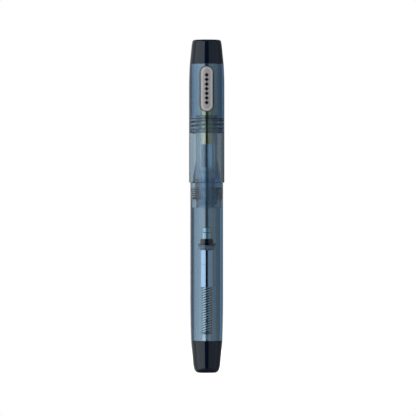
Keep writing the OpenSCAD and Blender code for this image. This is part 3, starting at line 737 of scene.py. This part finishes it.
def plate_layer(width, height, up, thickness, soft):
    """A stadium slab from up to up + thickness, with its top edge softened."""
    bm = bmesh.new()
    top = extrude(bm, [stadium(bm, width, height, up)], thickness)
    edges = [e for e in bm.edges if all(v in top for v in e.verts)]
    bmesh.ops.bevel(bm, geom=edges, offset=soft * MM, offset_type="OFFSET", segments=3, profile=0.5,
                    affect="EDGES", material=-1)
    return bm


def slice_across(bm, step):
    """Cuts the flat faces across and along, so that they can bend."""
    for axis, size in (Vector((1, 0, 0)), PLATE_W), (Vector((0, 0, 1)), PLATE_H):
        count = int(size / step)
        for i in range(1, count):
            at = Vector((0, 0, PLATE_MID)) + axis * (size * i / count - size / 2)
            bmesh.ops.bisect_plane(bm, geom=bm.verts[:] + bm.edges[:] + bm.faces[:], dist=1e-7,
                                   plane_co=at * MM, plane_no=axis)


# %% Painted shade outline and field
# Painted shade: a black sheet a little wider than the plate lies under it, so a dark line shows round its
# edge.
SHADE_OUTLINE_OUT = 1.8 * PLATE_GAP
shade_outline = plate_layer(PLATE_W + SHADE_OUTLINE_OUT, PLATE_H + SHADE_OUTLINE_OUT, 0, PLATE_T - 0.25, 0.02)
slice_across(shade_outline, 0.5)
lay_on_cap(shade_outline)
bmesh.ops.recalc_face_normals(shade_outline, faces=shade_outline.faces[:])
finish_piece(shade_outline, "plate_painted_shade_outline", enamel_and_painted_shade, "cap")

field = plate_layer(PLATE_W, PLATE_H, 0, PLATE_T - 0.16, 0.03)
slice_across(field, 0.4)
lay_on_cap(field)
bmesh.ops.recalc_face_normals(field, faces=field.faces[:])
field = finish_piece(field, "plate_field", plate_metal, "cap", ["name_plate"])
print("field faces:", len(field.data.polygons))

# %% Rim
RIM_W = 0.5
RIM_RISE = 0.18
rim = bmesh.new()
outer = stadium(rim, PLATE_W, PLATE_H, PLATE_T - 0.2)
bmesh.ops.inset_region(rim, faces=[outer], thickness=RIM_W * MM, depth=0, use_even_offset=True,
                       use_boundary=True)
bmesh.ops.delete(rim, geom=[outer], context="FACES_ONLY")
extrude(rim, rim.faces[:], RIM_RISE)
top_edges = [e for e in rim.edges if all(v.co.y > (PLATE_T - 0.05) * MM for v in e.verts)
             and len(e.link_faces) == 2 and e.calc_face_angle(0) > 1]
bmesh.ops.bevel(rim, geom=top_edges, offset=0.08 * MM, offset_type="OFFSET", segments=4, profile=0.5,
                affect="EDGES", material=-1)
slice_across(rim, 0.5)
lay_on_cap(rim)
bmesh.ops.recalc_face_normals(rim, faces=rim.faces[:])
rim = finish_piece(rim, "plate_rim", rim_metal, "cap")
print("rim faces:", len(rim.data.polygons))

# %% Beads
BEAD_R = 0.13
BEAD_STEP = 0.34
BEAD_INSET = 2 * RIM_W + 0.45
ROW_R = (PLATE_W - BEAD_INSET) / 2      # radius of the row's round ends
ROW_STRAIGHT = PLATE_H - PLATE_W        # length of its straight sides


def along_row(s):
    """(x, z) of the point s mm along the row of beads, from the foot of its right side."""
    half_way = ROW_STRAIGHT + pi * ROW_R
    side = 1 if s < half_way else -1
    s -= 0 if side > 0 else half_way
    if s < ROW_STRAIGHT:
        return side * ROW_R, side * (s - ROW_STRAIGHT / 2)
    a = (s - ROW_STRAIGHT) / ROW_R
    return side * ROW_R * cos(a), side * (ROW_STRAIGHT / 2 + ROW_R * sin(a))


around = 2 * (ROW_STRAIGHT + pi * ROW_R)
count = round(around / BEAD_STEP)
beads = bmesh.new()
for i in range(count):
    x, z = along_row(around * i / count)
    place = Matrix.Translation(Vector((x, PLATE_T - 0.14, PLATE_MID + z)) * MM)
    bmesh.ops.create_icosphere(beads, subdivisions=2, radius=BEAD_R * MM, matrix=place)
lay_on_cap(beads)
finish_piece(beads, "plate_beads", rim_metal, "cap", angle=80)
print("beads:", count)

# %% Lozenges
LOZENGES = 7
LOZENGE_STEP = (PLATE_H - PLATE_W) / LOZENGES
LOZENGE_R = 0.92
LOZENGE_FACE_R = 0.86
LOZENGE_T = 0.08
lozenges = bmesh.new()
for i in range(LOZENGES):
    middle = Vector((0, PLATE_T - 0.13, PLATE_MID + (i - (LOZENGES - 1) / 2) * LOZENGE_STEP))
    bmesh.ops.create_cone(lozenges, cap_ends=True, segments=4, radius1=LOZENGE_R * MM,
                          radius2=LOZENGE_FACE_R * MM, depth=LOZENGE_T * MM,
                          matrix=Matrix.Translation(middle * MM) @ Matrix.Rotation(radians(-90), 4, "X"))
lay_on_cap(lozenges)
bmesh.ops.recalc_face_normals(lozenges, faces=lozenges.faces[:])
finish_piece(lozenges, "plate_lozenges", enamel_and_painted_shade, "cap", ["plate_inlay"])
print("lozenges:", LOZENGES, "at steps of", round(LOZENGE_STEP, 2), "mm")

# %% [markdown]
# ## The nib
# A nib is a flat blank rolled round the feed. It starts here as a flat grid, which is bent to the shank's
# radius, spread to the shoulders and drawn in to the point, then given its thickness, its slit and its
# breather hole.

# %% Nib
NIB_TOP = high("nib")
SHOULDER_Z = GRIP_TOP + 6.7
BLADE_Z = GRIP_TOP + 2.7
SHANK_HALF = 1.95 * SHANK_R   # half widths of the flat blank: at the shank,
SHOULDER_HALF = 4.3           # at the shoulders
POINT_HALF = 0.35             # and at the point
SHEET_T = 0.28
BREATHER_R = 0.5
SLIT_W = 0.07
SLIT_LEN = 12


def ease(t):
    """0 to 1 with a soft start and a soft stop."""
    return t * t * (3 - 2 * t)


def nib_half_width(z):
    """Half the blank's width at a height."""
    if z < BLADE_Z:
        return SHANK_HALF
    if z < SHOULDER_Z:
        return SHANK_HALF + (SHOULDER_HALF - SHANK_HALF) * ease((z - BLADE_Z) / (SHOULDER_Z - BLADE_Z))
    t = (z - SHOULDER_Z) / (NIB_TOP - SHOULDER_Z)
    return POINT_HALF + (SHOULDER_HALF - POINT_HALF) * (1 - t) ** 0.85


def nib_bend(z):
    """The radius of the bend at a height, and how far its crown stands in front of the axis."""
    t = min(1, max(0, (z - BLADE_Z + 1) / (SHOULDER_Z - BLADE_Z + 1)))
    rise = max(0, z - BLADE_Z)
    return SHANK_R + 1.1 * ease(t), SHANK_R - 0.1 * rise


nib = bmesh.new()
bmesh.ops.create_grid(nib, x_segments=40, y_segments=90, size=0.5)
for v in nib.verts:
    across, along = 2 * v.co.x, v.co.y + 0.5
    z = NIB_Z + (NIB_TOP - NIB_Z) * along
    bend, crown = nib_bend(z)
    a = across * nib_half_width(z) / bend
    v.co = Vector((bend * sin(a), -crown + bend * (1 - cos(a)), z)) * MM
bmesh.ops.recalc_face_normals(nib, faces=nib.faces[:])
if sum(f.normal.y for f in nib.faces) > 0:
    bmesh.ops.reverse_faces(nib, faces=nib.faces[:])
bmesh.ops.solidify(nib, geom=nib.faces[:], thickness=SHEET_T * MM)
nib = finish_piece(nib, "nib_sheet", gold, "pen_body", ["nib"], angle=50)
print("nib faces before it is cut:", len(nib.data.polygons))

# %% Breather hole, slit and point
at_hole = Vector((0, -3, SHOULDER_Z)) * MM
at_slit = Vector((0, -3, SHOULDER_Z + SLIT_LEN / 2)) * MM
hole = bmesh.new()
bmesh.ops.create_cone(hole, cap_ends=True, segments=32, radius1=BREATHER_R * MM, radius2=BREATHER_R * MM,
                      depth=4 * MM, matrix=Matrix.Translation(at_hole) @ Matrix.Rotation(radians(90), 4, "X"))
slit = bmesh.new()
bmesh.ops.create_cube(slit, size=1, matrix=Matrix.Translation(at_slit)
                      @ Matrix.Diagonal((SLIT_W * MM, 4 * MM, SLIT_LEN * MM, 1)))
for cutter in (loose(hole, "hole"), loose(slit, "slit")):
    boolean(nib, cutter, "DIFFERENCE")
    bpy.data.objects.remove(cutter)

point_low, point_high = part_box("nib_point")
pellet = bmesh.new()
bmesh.ops.create_uvsphere(pellet, u_segments=24, v_segments=16, radius=(point_high.z - point_low.z) / 2,
                          matrix=Matrix.Translation((point_low + point_high) / 2))
finish_piece(pellet, "nib_pellet", bright_metal, "pen_body", ["nib_point"], angle=80)
print("nib faces:", len(nib.data.polygons))

# %% [markdown]
# ## The solid pieces that stay
# Pieces that hide inside, such as the feed's fins, the core and the washer, keep their solid shape and
# only get a finish.

# %% Finishes for the solid nodes
kept_solids = {"feed": feed_plastic, "piston_core": turned_steel, "thrust_washer": waxy_plastic,
               "knob_insert": brass}
for node, material in kept_solids.items():
    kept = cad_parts[node]
    kept.data.materials.clear()
    kept.data.materials.append(material)
    print(node, "->", material.name)

# %% [markdown]
# ## Light
# A polished tube shows its surroundings, so the light is designed as what the pen sees: a tall soft window
# on the left, a dimmer one on the right, and a narrow dark gap between them where the camera stands, which
# draws the long dark stripe down the middle. The world shader paints these windows by compass direction,
# and fades them to a dim ceiling and floor. The camera itself sees plain white behind the pen, and dull
# surfaces are lit evenly by the same white.

# %% World
LEFT_LIGHT = 1.4
LEFT_BACK = 0.6
RIGHT_LIGHT = 0.38
RIGHT_BACK = 0.19
BACK_GAP = 0.08
GAP = 0.004
TOP_LIGHT = 0.16
WINDOW_TOP = 0.45     # sine of the height where the windows end
FADE_SPEED = 6.0

world = bpy.data.worlds.new("studio")
world.use_nodes = True
scene.world = world
nodes, links = world.node_tree.nodes, world.node_tree.links
nodes.clear()


def math_node(operation, a, b=None, clamp=False):
    """Adds a Math node to the tree that `nodes` and `links` name at the time."""
    node = nodes.new("ShaderNodeMath")
    node.operation = operation
    node.use_clamp = clamp
    for socket, value in zip(node.inputs, (a, b)):
        if value is None:
            continue
        if isinstance(value, (int, float)):
            socket.default_value = value
        else:
            links.new(value, socket)
    return node.outputs[0]


direction = nodes.new("ShaderNodeTexCoord")
split = nodes.new("ShaderNodeSeparateXYZ")
links.new(direction.outputs["Generated"], split.inputs[0])
towards = math_node("MULTIPLY", split.outputs["Y"], -1.0)
compass = math_node("ARCTAN2", split.outputs["X"], towards)
turn_share = math_node("ADD", math_node("DIVIDE", compass, tau), 0.5)
ramp = nodes.new("ShaderNodeValToRGB")
links.new(turn_share, ramp.inputs["Fac"])
ramp.color_ramp.interpolation = "LINEAR"
RAMP_SCALE = 2.0      # a ramp holds 0 to 1, and the windows are brighter than 1
stops = [(-180, BACK_GAP), (-178.3, BACK_GAP), (-177, LEFT_BACK), (-98, LEFT_BACK), (-84, LEFT_LIGHT),
         (-19, LEFT_LIGHT), (-12, GAP), (12, GAP), (19, RIGHT_LIGHT), (90, RIGHT_LIGHT), (100, RIGHT_BACK),
         (177, RIGHT_BACK), (178.3, BACK_GAP), (180, BACK_GAP)]
while len(ramp.color_ramp.elements) < len(stops):
    ramp.color_ramp.elements.new(0.5)
for element, (angle, level) in zip(ramp.color_ramp.elements, stops):
    element.position = angle / 360 + 0.5
    element.color = (level / RAMP_SCALE, level / RAMP_SCALE, level / RAMP_SCALE, 1)
ring_light = math_node("MULTIPLY", ramp.outputs["Color"], RAMP_SCALE)
past_top = math_node("SUBTRACT", math_node("ABSOLUTE", split.outputs["Z"]), WINDOW_TOP)
steep = math_node("MULTIPLY", past_top, FADE_SPEED, clamp=True)
from_windows = math_node("MULTIPLY", ring_light, math_node("SUBTRACT", 1.0, steep))
brightness = math_node("ADD", from_windows, math_node("MULTIPLY", steep, TOP_LIGHT))

studio = nodes.new("ShaderNodeBackground")
links.new(brightness, studio.inputs["Strength"])
studio.inputs["Color"].default_value = (1, 1, 1, 1)
paper = nodes.new("ShaderNodeBackground")
paper.inputs["Color"].default_value = (1, 1, 1, 1)
seen = nodes.new("ShaderNodeLightPath")
mix = nodes.new("ShaderNodeMixShader")
plain = math_node("MAXIMUM", seen.outputs["Is Camera Ray"], seen.outputs["Is Diffuse Ray"])
links.new(plain, mix.inputs["Fac"])
links.new(studio.outputs[0], mix.inputs[1])
links.new(paper.outputs[0], mix.inputs[2])
output = nodes.new("ShaderNodeOutputWorld")
links.new(mix.outputs[0], output.inputs["Surface"])
print("windows painted at", len(stops), "compass points")

# %% [markdown]
# ## The floor
# The floor is a pale round table top. It takes a faint shadow where the pen stands, and glows just enough
# to the camera to run into the white behind it.

# %% Floor
FLOOR_R = 0.35
FLOOR_Z = -0.00005    # just under the pen, so the two faces don't flicker
FLOOR_GLOW = 0.75
floor_bm = bmesh.new()
bmesh.ops.create_circle(floor_bm, cap_ends=True, segments=96, radius=FLOOR_R,
                        matrix=Matrix.Translation((0, 0, FLOOR_Z)))
floor = loose(floor_bm, "floor")
floor_material = bpy.data.materials.new("floor_paper")
floor_material.use_nodes = True
nodes, links = floor_material.node_tree.nodes, floor_material.node_tree.links
nodes["Principled BSDF"].inputs["Base Color"].default_value = (0.8, 0.8, 0.8, 1)
nodes["Principled BSDF"].inputs["Roughness"].default_value = 0.9
glow = nodes.new("ShaderNodeEmission")
seen = nodes.new("ShaderNodeLightPath")
links.new(math_node("MULTIPLY", seen.outputs["Is Camera Ray"], FLOOR_GLOW), glow.inputs["Strength"])
both = nodes.new("ShaderNodeAddShader")
links.new(nodes["Principled BSDF"].outputs[0], both.inputs[0])
links.new(glow.outputs[0], both.inputs[1])
links.new(both.outputs[0], nodes["Material Output"].inputs["Surface"])
floor.data.materials.append(floor_material)
floor.visible_glossy = False
floor.visible_transmission = False
print("floor", round(2 * FLOOR_R, 2), "m across")

# %% [markdown]
# ## How far light is followed
# Light crosses up to a dozen clear surfaces on its way to the nib and as many on the way back, so the
# limits on bounces are raised. The Standard view keeps the colours as they are mixed.

# %% Light paths and colour
scene.cycles.use_denoising = True
scene.cycles.max_bounces = 40
scene.cycles.transmission_bounces = 36
scene.cycles.glossy_bounces = 12
scene.cycles.diffuse_bounces = 3
scene.cycles.transparent_max_bounces = 16
scene.view_settings.view_transform = "Standard"
scene.view_settings.look = "None"
print("bounces of light:", scene.cycles.max_bounces)
